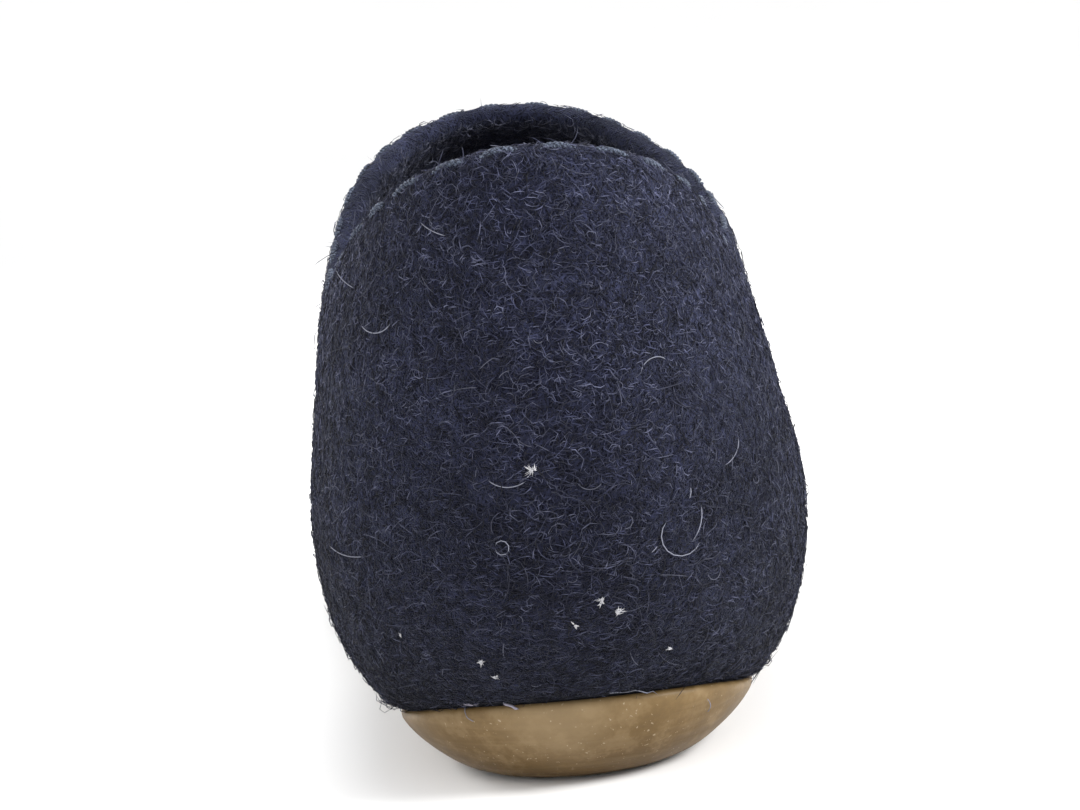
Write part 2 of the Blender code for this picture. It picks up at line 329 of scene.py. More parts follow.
# Loose pale hairs on the heel as seen from behind: start, heading and bend in degrees, length
Loose = namedtuple("Loose", "across height heading bend length radius")
LOOSE = (
    Loose(0.0204, 0.0417, -92, -40, 0.0055, 0.00008),
    Loose(0.0198, 0.0365, -130, -200, 0.0105, 0.00008),
    Loose(0.0135, 0.0369, -150, 20, 0.0012, 0.00007),
    Loose(0.0191, 0.0445, -105, 10, 0.0016, 0.00008),
    Loose(-0.0096, 0.0489, -39, 75, 0.0058, 0.00007),
    Loose(-0.0095, 0.0393, 60, -350, 0.0062, 0.00007),
    Loose(-0.0300, 0.0790, -45, 20, 0.0042, 0.00007),
    Loose(-0.0157, 0.0859, -45, 30, 0.0042, 0.00007),
    Loose(-0.0260, 0.0714, -48, 120, 0.0056, 0.00008),
    Loose(-0.0346, 0.0383, -24, 40, 0.0058, 0.00007),
    Loose(0.0040, 0.0150, 8, -45, 0.0084, 0.00008),
    Loose(0.0135, 0.0620, 70, -120, 0.0048, 0.00007),
    Loose(0.0270, 0.0500, -100, -60, 0.0045, 0.00007),
    Loose(-0.0165, 0.0134, -80, 60, 0.0022, 0.00007),
    Loose(0.0192, 0.0110, -60, -70, 0.0026, 0.00007),
)

# Pale glue that shows along the top of the sole
GLUE = (
    Loose(-0.0170, 0.0147, -10, 14, 0.0048, 0.00020),
    Loose(-0.0130, 0.0142, -4, -10, 0.0046, 0.00023),
)

# White lint caught in the felt, seen from behind
Lint = namedtuple("Lint", "across height size strands")
LINTS = (
    Lint(-0.0032, 0.0499, 0.00065, 12),
    Lint(0.0048, 0.0301, 0.00045, 8),
    Lint(0.0071, 0.0281, 0.00065, 5),
    Lint(0.0008, 0.0269, 0.00035, 6),
    Lint(0.0139, 0.0213, 0.00035, 5),
    Lint(-0.0132, 0.0222, 0.00050, 9),
    Lint(-0.0112, 0.0196, 0.00035, 5),
    Lint(-0.0245, 0.0260, 0.00030, 5),
)


# Node helpers


def new_material(name, finish):
    material = bpy.data.materials.new(name)
    material.use_nodes = True
    shader = material.node_tree.nodes["Principled BSDF"]
    shader.inputs["Roughness"].default_value = finish.roughness
    shader.inputs["Specular IOR Level"].default_value = finish.specular
    shader.inputs["Sheen Weight"].default_value = finish.sheen
    shader.inputs["Sheen Roughness"].default_value = SHEEN_ROUGHNESS
    return material, material.node_tree, shader


def math_node(tree, operation, first, second):
    """A sum, product or the like of two values, each a link or a plain number."""
    node = tree.nodes.new("ShaderNodeMath")
    node.operation = operation
    for index, value in enumerate((first, second)):
        if isinstance(value, float):
            node.inputs[index].default_value = value
        else:
            tree.links.new(value, node.inputs[index])
    return node.outputs[0]


def ramp(tree, source, span):
    """The source carried over a span by a soft step."""
    node = tree.nodes.new("ShaderNodeMapRange")
    node.interpolation_type = "SMOOTHSTEP"
    node.inputs["From Min"].default_value = span.low_in
    node.inputs["From Max"].default_value = span.high_in
    node.inputs["To Min"].default_value = span.low_out
    node.inputs["To Max"].default_value = span.high_out
    tree.links.new(source, node.inputs["Value"])
    return node.outputs["Result"]


def mix_colour(tree, share, first, second):
    """The first colour, and the second where share is 1. Each is a link or three numbers."""
    node = tree.nodes.new("ShaderNodeMix")
    node.data_type = "RGBA"
    tree.links.new(share, node.inputs["Factor"])
    for socket, value in ((node.inputs[6], first), (node.inputs[7], second)):
        if isinstance(value, tuple):
            socket.default_value = (*value, 1.0)
        else:
            tree.links.new(value, socket)
    return node.outputs[2]


def noise(tree, place, grain):
    node = tree.nodes.new("ShaderNodeTexNoise")
    node.inputs["Scale"].default_value = grain.scale
    node.inputs["Detail"].default_value = grain.detail
    node.inputs["Roughness"].default_value = grain.roughness
    tree.links.new(place, node.inputs["Vector"])
    return node.outputs["Fac"]


def height_of(tree, place):
    parts = tree.nodes.new("ShaderNodeSeparateXYZ")
    tree.links.new(place, parts.inputs[0])
    return parts.outputs["Z"]


def vector_node(tree, operation, first, second):
    """A vector operation on a link and either another link or three plain numbers."""
    node = tree.nodes.new("ShaderNodeVectorMath")
    node.operation = operation
    tree.links.new(first, node.inputs[0])
    if isinstance(second, tuple):
        node.inputs[1].default_value = second
    else:
        tree.links.new(second, node.inputs[1])
    return node


def object_place(tree):
    return tree.nodes.new("ShaderNodeTexCoord").outputs["Object"]


def mapped(tree, place, rotation=(0.0, 0.0, 0.0), scale=(1.0, 1.0, 1.0)):
    node = tree.nodes.new("ShaderNodeMapping")
    node.inputs["Rotation"].default_value = rotation
    node.inputs["Scale"].default_value = scale
    tree.links.new(place, node.inputs["Vector"])
    return node.outputs["Vector"]


def bump(tree, shader, height, relief):
    node = tree.nodes.new("ShaderNodeBump")
    node.inputs["Strength"].default_value = relief.strength
    node.inputs["Distance"].default_value = relief.distance
    tree.links.new(height, node.inputs["Height"])
    tree.links.new(node.outputs["Normal"], shader.inputs["Normal"])


def curled(tree, place, scale, reach):
    """The place moved about by soft noise, so that streaks drawn on it curl."""
    node = tree.nodes.new("ShaderNodeTexNoise")
    node.inputs["Scale"].default_value = scale
    node.inputs["Detail"].default_value = 1.0
    tree.links.new(place, node.inputs["Vector"])
    centred = vector_node(tree, "SUBTRACT", node.outputs["Color"], (0.5, 0.5, 0.5))
    sized = tree.nodes.new("ShaderNodeVectorMath")
    sized.operation = "SCALE"
    sized.inputs["Scale"].default_value = reach
    tree.links.new(centred.outputs[0], sized.inputs[0])
    return vector_node(tree, "ADD", place, sized.outputs[0]).outputs[0]


# Directions of the felt's painted fibres: turns about X, Y and Z, and how strongly each shows
Streak = namedtuple("Streak", "turn_x turn_y turn_z strength")
STREAKS = (
    Streak(0.0, 0.1, 0.0, 1.00),
    Streak(0.2, 0.8, 0.1, 0.85),
    Streak(-0.1, -0.7, 0.3, 0.85),
    Streak(0.1, 1.5, 0.0, 0.80),
    Streak(0.0, 0.3, 1.4, 0.90),
    Streak(0.3, -0.4, 0.9, 0.80),
)
STREAK_SCALE = (420.0, 3600.0, 3600.0)
STREAK_GRAIN = Grain(1.0, 1.0, 0.50)
STREAK_SPAN = Span(0.52, 0.68, 0.00, 1.00)
STREAK_CURL_SCALE = 420.0
STREAK_CURL_REACH = 0.0011


def fibre_web(tree, place):
    """A web of thin curly streaks, 0 between them and 1 on their crests."""
    bent = curled(tree, place, STREAK_CURL_SCALE, STREAK_CURL_REACH)
    web = None
    for streak in STREAKS:
        turned = mapped(tree, bent, rotation=(streak.turn_x, streak.turn_y, streak.turn_z))
        grain = noise(tree, mapped(tree, turned, scale=STREAK_SCALE), STREAK_GRAIN)
        crest = math_node(tree, "MULTIPLY", ramp(tree, grain, STREAK_SPAN), streak.strength)
        web = crest if web is None else math_node(tree, "MAXIMUM", web, crest)
    return web


def painted_low_shade(tree, place, colour):
    """The colour with painted shade, darker towards the sole."""
    return mix_colour(tree, ramp(tree, height_of(tree, place), LOW_SHADE_SPAN), colour, LOW_SHADE_TONE)


def felt_material(felt):
    material, tree, shader = new_material(felt.name, FELT_FINISH)
    shader.inputs["Sheen Roughness"].default_value = FELT_SHEEN_ROUGHNESS
    shader.inputs["Sheen Tint"].default_value = FELT_SHEEN_TINT
    place = object_place(tree)
    web = fibre_web(tree, place)
    clumps = noise(tree, place, FELT_CLUMPS)
    clouds = noise(tree, place, FELT_CLOUDS)
    lit = math_node(tree, "MULTIPLY", web, ramp(tree, clumps, CLUMP_SPAN))
    lit = math_node(tree, "MULTIPLY", lit, felt.web_share)
    colour = mix_colour(tree, lit, felt.ground, felt.fibre)
    dull = tuple(FELT_DULL * value for value in felt.ground)
    dark = mix_colour(tree, ramp(tree, clouds, FELT_DULL_SPAN), colour, dull)
    # Painted shade, darker towards the sole
    tree.links.new(painted_low_shade(tree, place, dark), shader.inputs["Base Color"])
    lumps = math_node(tree, "MULTIPLY", clumps, CLUMP_RELIEF_SHARE)
    bump(tree, shader, math_node(tree, "ADD", web, lumps), FELT_RELIEF)
    return material


def hair_material(name, tones):
    """Each hair takes one colour between the darkest and the lightest tone."""
    material, tree, shader = new_material(name, HAIR_FINISH)
    chance = tree.nodes.new("ShaderNodeNewGeometry").outputs["Random Per Island"]
    colours = tree.nodes.new("ShaderNodeValToRGB")
    band = colours.color_ramp
    while len(band.elements) < len(tones):
        band.elements.new(0.5)
    for element, tone in zip(band.elements, tones):
        element.position = tone.share
        element.color = (*tone.colour, 1.0)
    tree.links.new(chance, colours.inputs["Fac"])
    place = object_place(tree)
    worn = ramp(tree, noise(tree, place, HAIR_WEAR), HAIR_WEAR_SPAN)
    faded = ramp(tree, noise(tree, place, HAIR_CLOUDS), HAIR_CLOUD_SPAN)
    worn = math_node(tree, "MAXIMUM", worn, faded)
    dull = tuple(HAIR_DULL * value for value in tones[0].colour)
    mixed = mix_colour(tree, worn, colours.outputs["Color"], dull)
    # Painted shade, darker towards the sole
    tree.links.new(painted_low_shade(tree, place, mixed), shader.inputs["Base Color"])
    return material


def pale_material(name, colour):
    material, tree, shader = new_material(name, PALE_FINISH)
    spots = noise(tree, object_place(tree), PALE_SPOTS)
    dull = tuple(PALE_DULL * value for value in colour)
    tree.links.new(mix_colour(tree, spots, colour, dull), shader.inputs["Base Color"])
    return material


def yarn_material():
    material, tree, shader = new_material("collar_yarn", YARN_FINISH)
    place = object_place(tree)
    strands = noise(tree, place, YARN_STRANDS)
    clouds = noise(tree, place, YARN_CLOUDS)
    blue = mix_colour(tree, ramp(tree, strands, YARN_SPAN), YARN_DARK, YARN_LIGHT)
    blue = mix_colour(tree, ramp(tree, clouds, YARN_CLOUD_SPAN), blue, YARN_DULL)
    tree.links.new(blue, shader.inputs["Base Color"])
    bump(tree, shader, strands, YARN_RELIEF)
    return material


def inner_faces(tree, place):
    """1 on faces that look up or towards the middle of the shoe, and 0 on the others."""
    normal = tree.nodes.new("ShaderNodeNewGeometry").outputs["True Normal"]
    flat = mapped(tree, place, scale=(1.0, 1.0, 0.0))
    outward = vector_node(tree, "DOT_PRODUCT", normal, flat).outputs["Value"]
    inward = ramp(tree, math_node(tree, "MULTIPLY", outward, -1.0), INWARD_SPAN)
    return math_node(tree, "MAXIMUM", inward, ramp(tree, height_of(tree, normal), UPWARD_SPAN))


def rubber_material():
    """Tan rubber, darker low as painted shade and lighter high as painted light, with a painted
    highlight near its top at the heel and the faces inside the shoe as dark as the insole.
    """
    material, tree, shader = new_material("natural_rubber", SOLE_FINISH)
    place = object_place(tree)
    patterns = {
        "clouds": noise(tree, place, SOLE_CLOUDS),
        "bands": noise(tree, mapped(tree, place, scale=SOLE_BANDS), SOLE_BAND_GRAIN),
        "mottle": noise(tree, place, SOLE_MOTTLE),
        "grain": noise(tree, place, SOLE_GRAIN),
        # Distance from the middle of the painted highlight
        "painted_highlight": vector_node(tree, "DISTANCE", place, SOLE_HIGHLIGHT_MIDDLE).outputs["Value"],
    }
    # Painted shade low on the sole and painted light high on it
    base = mix_colour(tree, ramp(tree, height_of(tree, place), SOLE_SHADE_SPAN), SOLE_SHADED_LOW, SOLE_LIT_HIGH)
    for tint in SOLE_TINTS:
        base = mix_colour(tree, ramp(tree, patterns[tint.pattern], tint.span), base, tint.colour)
    lined = inner_faces(tree, place)
    tree.links.new(mix_colour(tree, lined, base, INSIDE_TONE), shader.inputs["Base Color"])
    gloss = ramp(tree, patterns["clouds"], SOLE_GLOSS_SPAN)
    tree.links.new(math_node(tree, "MAXIMUM", gloss, lined), shader.inputs["Roughness"])
    grain = math_node(tree, "MULTIPLY", patterns["grain"], GRAIN_RELIEF_SHARE)
    bump(tree, shader, math_node(tree, "ADD", patterns["bands"], grain), SOLE_RELIEF)
    return material


# Bodies


def placed(name, data):
    item = bpy.data.objects.new(name, data)
    bpy.context.scene.collection.objects.link(item)
    return item


def places_of(mesh):
    places = np.empty(len(mesh.vertices) * 3)
    mesh.vertices.foreach_get("co", places)
    return places.reshape(-1, 3)


def clean_copy(node, name, levels):
    """A smooth copy of a solid: its triangles joined to quads, then subdivided."""
    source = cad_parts[node].data
    shape = bmesh.new()
    shape.from_mesh(source)
    bmesh.ops.remove_doubles(shape, verts=shape.verts[:], dist=MERGE)
    bmesh.ops.join_triangles(
        shape,
        faces=shape.faces[:],
        angle_face_threshold=FLAT_ANGLE,
        angle_shape_threshold=SHAPE_ANGLE,
    )
    mesh = bpy.data.meshes.new(name)
    shape.to_mesh(mesh)
    shape.free()
    piece = placed(name, mesh)
    smooth = piece.modifiers.new("smooth", "SUBSURF")
    smooth.levels = smooth.render_levels = levels
    evaluated = piece.evaluated_get(bpy.context.evaluated_depsgraph_get())
    fine = bpy.data.meshes.new_from_object(evaluated)
    piece.modifiers.clear()
    piece.data = fine
    fine.materials.clear()
    fine.shade_smooth()
    return piece


def wrinkle(piece):
    """Soft troughs and swells of a moulded felt wall, placed in the shoe's own sizes."""
    mesh = piece.data
    places = places_of(mesh)
    normals = np.empty(places.size)
    mesh.vertex_normals.foreach_get("vector", normals)
    push = np.zeros(len(places))
    for fold in FOLDS:
        start, end = np.array(fold.start), np.array(fold.end)
        along = end - start
        share = np.clip((places - start) @ along / (along @ along), 0.0, 1.0)
        middle = start + share[:, None] * along
        middle[:, 2] += np.sin(share * math.pi) * fold.bow
        away = np.linalg.norm(places - middle, axis=1) / fold.width
        ends = np.sin(np.clip(share, FOLD_END, 1.0 - FOLD_END) * math.pi) ** 0.5
        push += fold.depth * np.exp(-away * away) * ends
    places += normals.reshape(-1, 3) * push[:, None]
    mesh.vertices.foreach_set("co", places.ravel())
    mesh.update()


# Tubes


def tubes(name, paths, radii, material, sides=3):
    """Closed thin tubes, pointed at both ends, as one joined mesh.

    paths is an array of hairs by points by 3, and radii holds each hair's radius at its middle."""
    count, points, _ = paths.shape
    inner = points - 2
    ahead = paths[:, 2:] - paths[:, :-2]
    ahead /= np.maximum(np.linalg.norm(ahead, axis=2, keepdims=True), TINY)
    helper = np.where(np.abs(ahead[..., 2:3]) < 0.8, [0.0, 0.0, 1.0], [1.0, 0.0, 0.0])
    side = np.cross(ahead, helper)
    side /= np.maximum(np.linalg.norm(side, axis=2, keepdims=True), TINY)
    upper = np.cross(side, ahead)
    turns = np.arange(sides) * 2.0 * math.pi / sides
    ring = (
        side[:, :, None] * np.cos(turns)[None, None, :, None]
        + upper[:, :, None] * np.sin(turns)[None, None, :, None]
    )
    rings = paths[:, 1:-1, None] + ring * radii[:, None, None, None]
    vertices = np.concatenate((
        paths[:, :1], rings.reshape(count, inner * sides, 3), paths[:, -1:],
    ), axis=1)
    faces = []
    last = inner * sides + 1
    for k in range(sides):
        n = (k + 1) % sides
        faces.append((0, 1 + n, 1 + k))
        for level in range(inner - 1):
            a, b = 1 + level * sides + k, 1 + level * sides + n
            faces.append((a, b, b + sides))
            faces.append((a, b + sides, a + sides))
        top = 1 + (inner - 1) * sides
        faces.append((top + k, top + n, last))
    one = np.array(faces)
    every = one[None] + (np.arange(count) * (last + 1))[:, None, None]
    return joined(name, vertices.reshape(-1, 3), every.reshape(-1, 3), material)


def joined(name, vertices, triangles, material):
    mesh = bpy.data.meshes.new(name)
    mesh.vertices.add(len(vertices))
    mesh.vertices.foreach_set("co", vertices.astype(np.float32).ravel())
    mesh.loops.add(triangles.size)
    mesh.loops.foreach_set("vertex_index", triangles.astype(np.int32).ravel())
    mesh.polygons.add(len(triangles))
    mesh.polygons.foreach_set("loop_start", np.arange(0, triangles.size, 3, dtype=np.int32))
    mesh.update(calc_edges=True)
    mesh.shade_smooth()
    mesh.materials.append(material)
    return placed(name, mesh)


# Places on the felt


def surface_of(piece):
    """Corners, normals and areas of the piece's triangles."""
    mesh = piece.data
    mesh.calc_loop_triangles()
    corners = np.empty(len(mesh.loop_triangles) * 3, dtype=np.int32)
    mesh.loop_triangles.foreach_get("vertices", corners)
    places = places_of(mesh)[corners.reshape(-1, 3)]
    cross = np.cross(places[:, 1] - places[:, 0], places[:, 2] - places[:, 0])
    double = np.linalg.norm(cross, axis=1)
    return places, cross / np.maximum(double[:, None], TINIEST_AREA), double / 2.0


def varied(mean, evenness, count):
    """Random positive sizes about their mean, closer to it the more even they are."""
    return mean * rng.gamma(evenness, 1.0 / evenness, count)


def scattered(surface, weights, count):
    """Random places and normals on the surface, as thick as the weights say."""
    places, normals, areas = surface
    chance = areas * weights
    picked = rng.choice(len(areas), size=count, p=chance / chance.sum())
    u, v = rng.random(count), rng.random(count)
    over = u + v > 1.0
    u[over], v[over] = 1.0 - u[over], 1.0 - v[over]
    corner = places[picked]
    point = corner[:, 0] + u[:, None] * (corner[:, 1] - corner[:, 0])
    point += v[:, None] * (corner[:, 2] - corner[:, 0])
    return point, normals[picked]


def level_direction(normals):
    """The level direction along the surface, round the shoe."""
    level = np.cross(normals, [0.0, 0.0, 1.0])
    flat = np.linalg.norm(level, axis=1, keepdims=True)
    return np.where(flat > LEVEL_LEAST, level / np.maximum(flat, TINY), [1.0, 0.0, 0.0])


def aimed(normals, headings):
    """Directions along the surface, at these headings up from the level one."""
    level = level_direction(normals)
    up = np.cross(level, normals)
    return level * np.cos(headings)[:, None] + up * np.sin(headings)[:, None]


def laid_hairs(points, normals, headings, lengths, lifts, curls):
    """Hairs that start in the felt, curl along it and rise from it as lifts say."""
    along = aimed(normals, headings)
    across = np.cross(normals, along)
    paths = np.empty((len(points), HAIR_STEPS + 1, 3))
    for index, step in enumerate(np.linspace(0.0, 1.0, HAIR_STEPS + 1)):
        turn = curls * (step - 0.5)
        reach = lengths * (step - 0.5)
        bend = lengths * curls * (step - 0.5) ** 2 * HAIR_BOW
        rise = lifts * math.sin(math.pi * step) - ROOT_DEPTH
        paths[:, index] = (
            points
            + along * (reach * np.cos(turn * HAIR_TURN))[:, None]
            + across * bend[:, None]
            + normals * rise[:, None]
        )
    return paths


def smooth_step(x):
    x = np.clip(x, 0.0, 1.0)
    return x * x * (3.0 - 2.0 * x)


def heading_of(points):
    """Main direction of the nap: level low on the heel, and steeper up and round the sides."""
    across = np.abs(points[:, 0] - NAP_MIDDLE) / NAP_HALF_WIDTH
    low_down = 1.0 - smooth_step((points[:, 2] - NAP_LOW_START) / NAP_LOW_FADE)
    steep = smooth_step((across - NAP_SIDE_START) / NAP_SIDE_START)
    steep *= 1.0 - NAP_LOW_SHARE * low_down
    return steep * NAP_STEEPEST * np.sign(points[:, 0])


def nap(surface, row, weights, material):
    points, normals = scattered(surface, weights, row.count)
    tilt = rng.normal(0.0, 1.0, row.count)
    headings = heading_of(points) + tilt * row.spread
    lengths = varied(row.length, LENGTH_EVENNESS, row.count)
    lifts = varied(row.lift, LIFT_EVENNESS, row.count)
    curls = rng.normal(0.0, NAP_CURL, row.count)
    paths = laid_hairs(points, normals, headings, lengths, lifts, curls)
    radii = HAIR_RADIUS * rng.uniform(*NAP_THICKNESS, row.count)
    return tubes(row.name, paths, radii, material)


def fuzz(surface, weights, material):
    """Short hairs that stand up from the felt and show along its outline."""
    count = FUZZ_COUNT
    points, normals = scattered(surface, weights, count)
    along = aimed(normals, rng.uniform(0.0, 2.0 * math.pi, count))
    lean = rng.uniform(*FUZZ_LEANS, count)
    lengths = varied(FUZZ_LENGTH, FUZZ_EVENNESS, count)
    curls = rng.normal(0.0, FUZZ_CURL, count)
    across = np.cross(normals, along)
    paths = np.empty((count, HAIR_STEPS + 1, 3))
    for index, step in enumerate(np.linspace(0.0, 1.0, HAIR_STEPS + 1)):
        bent = lean + step * FUZZ_BEND
        paths[:, index] = (
            points
            - normals * FUZZ_ROOT
            + along * (lengths * step * np.sin(bent))[:, None]
            + normals * (lengths * step * np.cos(bent))[:, None]
            + across * (lengths * curls * step * step * FUZZ_SWAY)[:, None]
        )
    return tubes("fuzz", paths, HAIR_RADIUS * rng.uniform(*FUZZ_THICKNESS, count), material)


def fringe(surface, weights, material):
    """Hairs at the felt's lower edge that hang a little over the sole."""
    count = FRINGE_COUNT
    points, normals = scattered(surface, weights, count)
    headings = -math.pi / 2.0 + rng.normal(0.0, FRINGE_TURN, count)
    lengths = varied(FRINGE_LENGTH, FRINGE_EVENNESS, count)
    lifts = varied(FRINGE_LIFT, LIFT_EVENNESS, count)
    curls = rng.normal(0.0, FRINGE_CURL, count)
    paths = laid_hairs(points, normals, headings, lengths, lifts, curls)
    return tubes("fringe", paths, HAIR_RADIUS * rng.uniform(*FRINGE_THICKNESS, count), material)


def curly(surface, row, weights, material):
    """Longer hairs that lie loose on the felt in arcs and hooks."""
    points, normals = scattered(surface, weights, row.count)
    headings = rng.uniform(0.0, 2.0 * math.pi, row.count)
    lengths = varied(row.length, LENGTH_EVENNESS, row.count)
    bends = rng.normal(0.0, row.bend, row.count)
    place = points + normals * CURL_FLOAT
    path = [points - normals * CURL_ROOT]
    for step in range(row.steps):
        ahead = aimed(normals, headings + bends * step / row.steps)
        place = place + ahead * (lengths / row.steps)[:, None] + normals * CURL_CLIMB
        path.append(place)
    radii = row.radius * rng.uniform(*CURL_THICKNESS, row.count)
    return tubes(row.name, np.stack(path, axis=1), radii, material)


def tree_of(*pieces):
    """One search tree over the faces of all the pieces."""
    corners, faces = [], []
    for piece in pieces:
        first = len(corners)
        corners.extend(vertex.co for vertex in piece.data.vertices)
        faces.extend([first + number for number in face.vertices] for face in piece.data.polygons)
    return BVHTree.FromPolygons(corners, faces)


def from_behind(tree, across, height):
    """Place and normal of the surface where it is seen level from behind."""
    start = Vector((across, HEEL_BACK - RAY_START, height))
    place, normal, _, _ = tree.ray_cast(start, Vector((0.0, 1.0, 0.0)))
    return place, normal


def loose_hairs(name, hairs, tree, material):
    """Hairs along the table's arcs. One that meets the gap over the sole keeps the depth it had."""
    paths = []
    for hair in hairs:
        across, height, heading = hair.across, hair.height, math.radians(hair.heading)
        stride = hair.length / LOOSE_STEPS
        path = []
        depth = HEEL_BACK + HEEL_ZONE * HEEL_CORE_SHARE
        for step in range(LOOSE_STEPS + 1):
            place, normal = from_behind(tree, across, height)
            if place.y > depth + DEEPEST_STEP:
                place = Vector((across, depth, height))
                normal = Vector((0.0, -1.0, 0.0))
            depth = place.y
            arch = LOOSE_ARCH * math.sin(math.pi * step / LOOSE_STEPS)
            path.append(place + normal * (LOOSE_FLOAT + arch))
            across += stride * math.cos(heading)
            height += stride * math.sin(heading)
            heading += math.radians(hair.bend) / LOOSE_STEPS
        paths.append(path)
    radii = np.array([hair.radius for hair in hairs])
    return tubes(name, np.array(paths), radii, material, LOOSE_SIDES)


def lint(tree, material):
    """Small tangles of white fibres."""
    paths, radii = [], []
    for knot in LINTS:
        place, normal = from_behind(tree, knot.across, knot.height)
        root = place + normal * (LINT_FLOAT + knot.size * LINT_RISE)
        for _ in range(2 * knot.strands):
            start = rng.normal(0.0, LINT_SPREAD, 3) * knot.size
            course = rng.normal(0.0, LINT_COURSE, 3)
            swing = rng.normal(0.0, 1.0, 3)
            path = []
            for step in range(LINT_STEPS + 1):
                share = step / LINT_STEPS - 0.5
                local = start + course * share * knot.size
                local = Vector(local + swing * (LINT_SWING * share * share) * knot.size)
                path.append(root + local - LINT_FLATNESS * local.dot(normal) * normal)
            paths.append(path)
            radii.append(rng.uniform(*LINT_RADII))
    return tubes("lint", np.array(paths), np.array(radii), material, LOOSE_SIDES)


# Collar stitches


def crest_slot(places):
    """The number of each place's bearing round the middle of the opening."""
    bearing = np.arctan2(places[:, 0] - OPENING_MIDDLE.x, places[:, 1] - OPENING_MIDDLE.y)
    share = (bearing + math.pi) / (2.0 * math.pi)
    return np.floor(share * CREST_BEARINGS).astype(int) % CREST_BEARINGS


def collar_crest(piece):
    """The collar's highest line, by even bearings round the middle of the opening."""
    places = places_of(piece.data)
    slot = crest_slot(places)
    line = []
    for number in range(CREST_BEARINGS):
        group = places[slot == number]
        line.append(group[np.argmax(group[:, 2])])
    line = np.array(line)
    for _ in range(CREST_ROUNDS):
        line = (np.roll(line, 1, axis=0) + 2.0 * line + np.roll(line, -1, axis=0)) / 4.0
    return line


def collar_stitches(piece, material):
    """Stitches of two-ply yarn, evenly along the crest of the collar."""
    line = collar_crest(piece)
    ahead = np.roll(line, -1, axis=0) - line
    steps = np.linalg.norm(ahead, axis=1)
    run = np.concatenate(([0.0], np.cumsum(steps)))
    closed = np.concatenate((line, line[:1]))
    count = round(run[-1] / (STITCH_LENGTH + STITCH_GAP))
    pitch = run[-1] / count
    paths = []
    for stitch in range(count):
        start = stitch * pitch + rng.uniform(-STITCH_JITTER, STITCH_JITTER)
        length = STITCH_LENGTH * rng.uniform(*STITCH_VARIES)
        for ply in (0.0, math.pi):
            path = []
            for step in range(STITCH_STEPS + 1):
                share = step / STITCH_STEPS
                place_on = (start + length * share) % run[-1]
                base = Vector([np.interp(place_on, run, closed[:, axis]) for axis in range(3)])
                out = base - OPENING_MIDDLE
                out.z = 0.0
                out.normalize()
                rise = math.sin(math.pi * share) ** STITCH_SHOULDER
                base += out * STITCH_OUT
                base.z -= STITCH_DROP + STITCH_SINK * (1.0 - rise)
                turn = 2.0 * math.pi * length * share / YARN_TURN + ply
                base += (out * math.cos(turn) + Vector((0.0, 0.0, 1.0)) * math.sin(turn)) * PLY_OFFSET
                path.append(base)
            paths.append(path)
    radii = np.full(len(paths), PLY_RADIUS)
    return tubes("collar_stitches", np.array(paths), radii, material, PLY_SIDES)


# Stage


# The floor: a flat disc that turns up into a bowl all round, open at the top
FLOOR_RADIUS = 1.6
BOWL_RADIUS = 1.2
BOWL_ANGLE = math.radians(80)
BOWL_RINGS = 14
BOWL_SIDES = 96


def floor_ring(shape, radius, height):
    ring = []
    for number in range(BOWL_SIDES):
        turn = 2.0 * math.pi * number / BOWL_SIDES
        ring.append(shape.verts.new((radius * math.cos(turn), radius * math.sin(turn), height)))
    return ring


def studio():
    shape = bmesh.new()
    centre = shape.verts.new((0.0, 0.0, 0.0))
    rings = []
    for number in range(BOWL_RINGS + 1):
        angle = BOWL_ANGLE * number / BOWL_RINGS
        radius = FLOOR_RADIUS + BOWL_RADIUS * math.sin(angle)
        rings.append(floor_ring(shape, radius, BOWL_RADIUS * (1.0 - math.cos(angle))))
    for i in range(BOWL_SIDES):
        shape.faces.new((centre, rings[0][i], rings[0][(i + 1) % BOWL_SIDES]))
    for inner, outer in zip(rings, rings[1:]):
        for i in range(BOWL_SIDES):
            j = (i + 1) % BOWL_SIDES
            shape.faces.new((inner[i], outer[i], outer[j], inner[j]))
    mesh = bpy.data.meshes.new("floor")
    shape.to_mesh(mesh)
    shape.free()
    mesh.shade_smooth()
    material, tree, shader = new_material("pale_floor", FLOOR_FINISH)
    spots = noise(tree, object_place(tree), FLOOR_SPOTS)
    tree.links.new(mix_colour(tree, spots, FLOOR_DARK, FLOOR_LIGHT), shader.inputs["Base Color"])
    mesh.materials.append(material)
    floor = placed("floor", mesh)
    floor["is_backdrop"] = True


# Soft round lamps: place, aim, width in metres and power in watts
Lamp = namedtuple("Lamp", "name place target size power")
LAMPS = (
    Lamp("key", (1.02, -0.42, 0.72), (0.0, -0.05, 0.04), 0.6, 22.0),
    Lamp("fill", (-0.80, -0.50, 0.60), (0.0, -0.05, 0.04), 0.8, 2.5),
    Lamp("back", (-0.85, 0.70, 0.50), (0.0, -0.02, 0.05), 0.4, 9.0),
    Lamp("top", (0.0, 0.25, 1.30), (0.0, 0.0, 0.04), 0.8, 8.0),
)
SKY_STRENGTH = 0.95


def lights():
    world = bpy.data.worlds.new("studio")
    world.use_nodes = True
    sky = world.node_tree.nodes["Background"]
    sky.inputs["Color"].default_value = (1.0, 1.0, 1.0, 1.0)
    sky.inputs["Strength"].default_value = SKY_STRENGTH
    bpy.context.scene.world = world
    for lamp in LAMPS:
        data = bpy.data.lights.new(lamp.name, "AREA")
        data.shape = "DISK"
        data.size = lamp.size
        data.energy = lamp.power
        light = placed(lamp.name, data)
        light.location = lamp.place
        aim = Vector(lamp.target) - Vector(lamp.place)
        light.rotation_euler = aim.to_track_quat("-Z", "Y").to_euler()


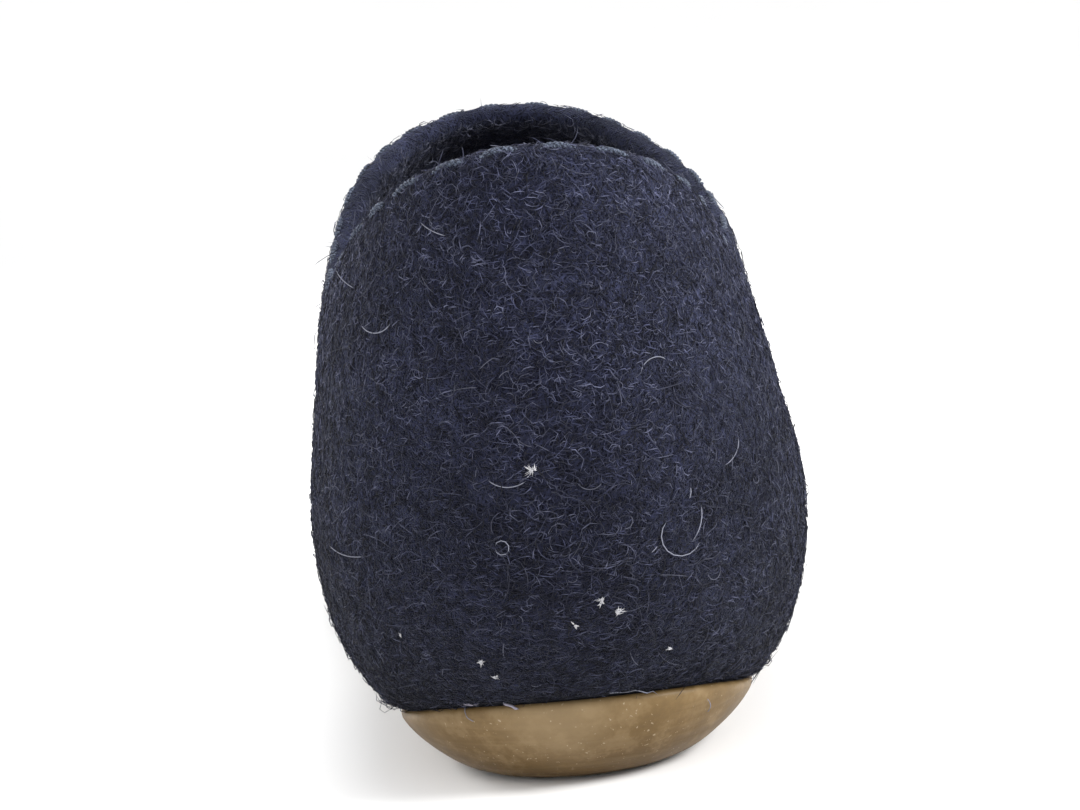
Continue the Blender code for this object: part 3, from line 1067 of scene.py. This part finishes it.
def camera():
    data = bpy.data.cameras.new("photo_camera")
    data.lens = CAMERA_LENS
    data.sensor_width = CAMERA_SENSOR
    data.clip_start = CAMERA_NEAR
    data.clip_end = CAMERA_FAR
    item = placed("photo_camera", data)
    item.location = (CAMERA_ACROSS, HEEL_BACK - CAMERA_DISTANCE, CAMERA_HEIGHT)
    turned = Matrix.Rotation(math.pi / 2 - CAMERA_PITCH, 4, "X")
    item.rotation_euler = (turned @ Matrix.Rotation(CAMERA_ROLL, 4, "Z")).to_3x3().to_euler()
    bpy.context.scene.camera = item


def keep(piece, slot, *nodes):
    """Fastens a piece to the part, in place of these nodes. The slot is not used."""
    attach(piece, "root")
    if nodes:
        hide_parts(*nodes)


def bodies():
    upper = clean_copy("upper", "felt_upper", UPPER_LEVELS)
    wrinkle(upper)
    upper.data.materials.append(felt_material(NAVY_FELT))
    keep(upper, "wool_felt", "upper")

    insole = clean_copy("insole", "felt_insole", INSOLE_LEVELS)
    insole.data.transform(Matrix.Diagonal((*INSOLE_SPREAD, 1.0)))
    insole.data.materials.append(felt_material(INSOLE_FELT))
    keep(insole, "insole_felt", "insole")

    outsole = clean_copy("outsole", "rubber_outsole", SOLE_LEVELS)
    outsole.data.materials.append(rubber_material())
    keep(outsole, "natural_rubber", "outsole")
    return upper, outsole


def nap_zones(upper, surface):
    """How thick hairs may stand on each triangle of the upper, by the name of the zone."""
    middles = surface[0].mean(axis=1)
    height = middles[:, 2]
    outside = np.einsum("ij,ij->i", surface[1], middles - WALL_MIDDLE) > 0.0
    ahead = middles[:, 1] - HEEL_BACK
    near = 1.0 - smooth_step((ahead - HEEL_ZONE * HEEL_CORE_SHARE) / (HEEL_ZONE * HEEL_FADE_SHARE))
    far = outside * (1.0 - near)
    crest = collar_crest(upper)[crest_slot(middles)]
    back = 1.0 - smooth_step((ahead - FRINGE_BACK_START) / FRINGE_BACK_FADE)
    edge = height < height.min() + FRINGE_LOWEST + FRINGE_REACH * back
    return {
        "low_heel": outside * near * (height < LOW_HEIGHT),
        "middle_heel": outside * near * (height >= LOW_HEIGHT) * (height < HIGH_HEIGHT),
        "high_heel": outside * near * (height >= HIGH_HEIGHT),
        "front": far * (middles[:, 1] > FRONT_START),
        "sides": far * (middles[:, 1] <= FRONT_START),
        "rim": ~outside * (np.linalg.norm(middles - crest, axis=1) < RIM_ZONE),
        "heel": outside * near,
        "outline": outside * (FUZZ_FAR + near),
        "edge": outside * edge * (near > FRINGE_NEAR),
        "outside": outside * 1.0,
    }


def hairs(upper):
    surface = surface_of(upper)
    zones = nap_zones(upper, surface)
    navy = hair_material("navy_wool", NAVY_WOOL)
    for row in OUTER_NAPS:
        keep(nap(surface, row, zones[row.zone], navy), "wool_felt")
    # Lighter hairs inside the collar's rim, as painted light
    lit_rim_wool = hair_material("lit_rim_wool", LIT_RIM_WOOL)
    keep(nap(surface, RIM_NAP, zones[RIM_NAP.zone], lit_rim_wool), "wool_felt")
    keep(curly(surface, CURLS, zones["heel"], hair_material("curl_wool", CURL_WOOL)), "wool_felt")
    keep(fuzz(surface, zones["outline"], navy), "wool_felt")
    keep(fringe(surface, zones["edge"], navy), "wool_felt")
    keep(curly(surface, STRAYS, zones["outside"], pale_material("stray_wool", STRAY_TONE)), "wool_felt")


def loose_things(upper, outsole):
    tree = tree_of(upper, outsole)
    wool = pale_material("loose_wool", LOOSE_TONE)
    keep(loose_hairs("loose_hairs", LOOSE, tree, wool), "wool_felt")
    keep(loose_hairs("glue", GLUE, tree, pale_material("pale_glue", GLUE_TONE)), "natural_rubber")
    keep(lint(tree, pale_material("white_lint", LINT_TONE)), "wool_felt")


def build():
    bpy.context.scene.view_settings.view_transform = "Standard"
    studio()
    lights()
    camera()
    upper, outsole = bodies()
    hairs(upper)
    loose_things(upper, outsole)
    keep(collar_stitches(upper, yarn_material()), "thread")


build()
low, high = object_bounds()
